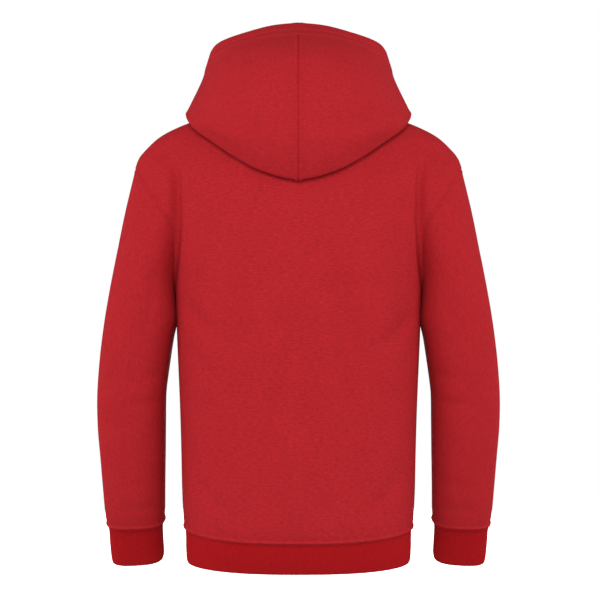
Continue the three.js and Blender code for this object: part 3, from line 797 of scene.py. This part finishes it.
# The turned hem is puffed and thicker, bulkier at the centre seam and narrower at the front
def makeHood(name, side, shift):
    points = throughKeys(hoodKeys(hoodColumns), hoodSpans)
    normals = normalsOf(points, -1, False)
    centre = runs(points, 1)[0]
    neck, rim = runs(points, 0)
    rim = rim / (1 - hood["narrow"] * ramp(hoodColumns, 1))
    insideRows = sum(len(span) for span in hoodSpans[:hood["insideSpans"]])
    outside = np.arange(len(points))[:, None] > insideRows
    clear = ramp(np.minimum(centre, rim - hood["hemDeep"]), hood["creaseClear"]) * outside
    sink = pressed(points, normals, varied(hoodCreases, hood, shift)) * clear
    onHem = ramp(hood["hemDeep"] + hood["hemSoft"] / 2 - rim, hood["hemSoft"])
    lift = ridge(centre, hood["seamRidge"])
    lift += puckers(centre, neck, hood["seamGather"], hood["gatherReach"], shift)
    lift = lift * (1 - onHem) + hood["puff"] * onHem
    lift += hood["bulk"] * onHem * np.exp(-(centre / hood["bulkWide"]) ** 4)
    for row in hood["stitchRows"]:
        lift -= hood["grooveDeep"] * np.exp(-((rim - row) / hood["grooveWide"]) ** 2)
    wall = hood["wall"] + (hood["hemWall"] - hood["wall"]) * onHem
    outer = points - normals * (sink - lift)[..., None]
    for grid in (points, outer, normals):
        grid[..., 0] *= side
    made = sewCloth(name, points, {**hood, "facing": -side}, sink, lift, wall)
    rows = [alongRow(outer, normals, rim, row) for row in hood["stitchRows"]]
    return made, rows


# The line over a grid of points at a distance from its last row
def alongRow(outer, normals, rim, distance):
    line, ways = [], []
    for j in range(outer.shape[1]):
        for found, grid in ((line, outer), (ways, normals)):
            found.append([np.interp(distance, rim[::-1, j], grid[::-1, j, k]) for k in range(3)])
    return np.array(line), unit(np.array(ways))


stitch = {
    "long": 2.7, "gap": 0.7, "thick": 0.55, "sides": 6, "rings": 5,
    "proud": 0.12, "arch": 0.6, "dip": 0.6, "endThin": 0.45,
}


# A row of stitches, each one a short strand of thread that dips into the cloth at its ends
def stitchPoints(line, ways):
    gone = runs(line, 0)[0]
    step = stitch["long"] + stitch["gap"]
    starts = np.arange(int(gone[-1] / step)) * step
    share = np.linspace(0, 1, stitch["rings"])
    at = starts[:, None] + share[None, :] * stitch["long"]
    middle = np.stack([np.interp(at, gone, line[:, k]) for k in range(3)], -1)
    up = unit(np.stack([np.interp(at, gone, ways[:, k]) for k in range(3)], -1))
    along = unit(np.gradient(middle, axis=1))
    side = unit(np.cross(along, up))
    arch = np.sin(share * math.pi)
    rise = (arch - stitch["dip"]) * stitch["thick"] * stitch["arch"] + stitch["proud"]
    middle = middle + up * rise[None, :, None]
    radius = stitch["thick"] / 2 * (stitch["endThin"] + (1 - stitch["endThin"]) * arch ** 0.5)
    angles = np.arange(stitch["sides"]) / stitch["sides"] * 2 * math.pi
    rings = (middle[:, :, None] + radius[None, :, None, None]
             * (side[:, :, None] * np.cos(angles)[:, None] + up[:, :, None] * np.sin(angles)[:, None]))
    return rings.reshape(-1, 3)


def makeStitches(name, rows):
    points = np.concatenate([stitchPoints(line, ways) for line, ways in rows])
    sides, rings = stitch["sides"], stitch["rings"]
    faces = []
    for start in range(0, len(points), sides * rings):
        for ring in range(rings - 1):
            for k in range(sides):
                a, b = start + ring * sides + k, start + ring * sides + (k + 1) % sides
                faces.append((a, b, b + sides, a + sides))
        faces.append(tuple(start + k for k in reversed(range(sides))))
        faces.append(tuple(start + (rings - 1) * sides + k for k in range(sides)))
    mesh = bpy.data.meshes.new(name)
    mesh.from_pydata((points * mm).tolist(), [], faces)
    mesh.shade_smooth()
    return addToScene(name, mesh)


hoods, threads = {}, {}
for word, side, shift in (("left", 1, 0.8), ("right", -1, 2.9)):
    piece, rows = makeHood(f"hood_{word}_cloth", side, shift)
    hoods[word] = dress(piece, fleece, f"hood_{word}")
    threads[word] = dress(makeStitches(f"hood_{word}_stitching", rows), thread, None)
print("hoodie: hood sewn")

print("hoodie: cloth pieces made")


# Floor, light and camera, in metres and degrees
studio = {
    "floorZ": -0.75, "floorRadius": 1.6, "floorSides": 96, "floorColour": (0.86, 0.86, 0.86, 1),
    "floorRoughness": 0.8, "floorGlow": 0.9, "white": (1, 1, 1, 1), "seen": 1.0, "fill": 0.31,
    "aimZ": -0.25, "cameraAt": (-0.0019, 1.8, -0.2496), "cameraTurn": (90, 0, 180), "cameraAngle": 24.1,
}
turns = np.linspace(0, 2 * math.pi, studio["floorSides"] + 1)[:-1]
rim = point(np.cos(turns), np.sin(turns), 0) * studio["floorRadius"] + (0, 0, studio["floorZ"])
floorMesh = bpy.data.meshes.new("floor")
floorMesh.from_pydata(rim.tolist(), [], [tuple(range(studio["floorSides"]))])
floorMesh.materials.append(Dye(bpy.data.materials.new("pale floor")).finish({
    "Base Color": studio["floorColour"], "Roughness": studio["floorRoughness"],
    "Emission Color": studio["white"], "Emission Strength": studio["floorGlow"],
}))
floor = addToScene("floor", floorMesh)
floor.visible_diffuse = False

# The air is white to the camera and dimmer to the cloth
air = Dye(bpy.data.worlds.new("studio"))
seen = air.node("ShaderNodeBackground", {}, {"Color": studio["white"], "Strength": studio["seen"]})
fill = air.node("ShaderNodeBackground", {}, {"Color": studio["white"], "Strength": studio["fill"]})
toCamera = air.node("ShaderNodeLightPath", {}, {}, "Is Camera Ray")
both = air.node("ShaderNodeMixShader", {}, {0: toCamera, 1: fill, 2: seen})
air.node("ShaderNodeOutputWorld", {}, {"Surface": both})
bpy.context.scene.world = air.owner

lights = table(
    "x y z size watts",
    (1.9, 0.75, -0.1, 1.4, 13), (-1.9, 0.75, -0.1, 1.4, 13), (0.1, 2.5, 0.35, 0.9, 37),
    (1.9, -0.8, 0, 1.4, 10), (-1.9, -0.8, 0, 1.4, 10), (-0.1, -2.5, 0.1, 0.9, 34))
for k in range(len(lights["x"])):
    lamp = bpy.data.lights.new(f"softbox_{k}", "AREA")
    lamp.shape = "DISK"
    lamp.size = lights["size"][k]
    lamp.energy = lights["watts"][k]
    softbox = addToScene(f"softbox_{k}", lamp)
    softbox.location = [lights[axis][k] for axis in "xyz"]
    aim = Vector((0, 0, studio["aimZ"])) - softbox.location
    softbox.rotation_euler = aim.to_track_quat("-Z", "Y").to_euler()

camera = addToScene("camera", bpy.data.cameras.new("camera"))
camera.location = studio["cameraAt"]
camera.rotation_euler = [math.radians(turn) for turn in studio["cameraTurn"]]
camera.data.angle = math.radians(studio["cameraAngle"])
bpy.context.scene.camera = camera
bpy.context.scene.view_settings.view_transform = "Standard"
print("hoodie: studio lit")
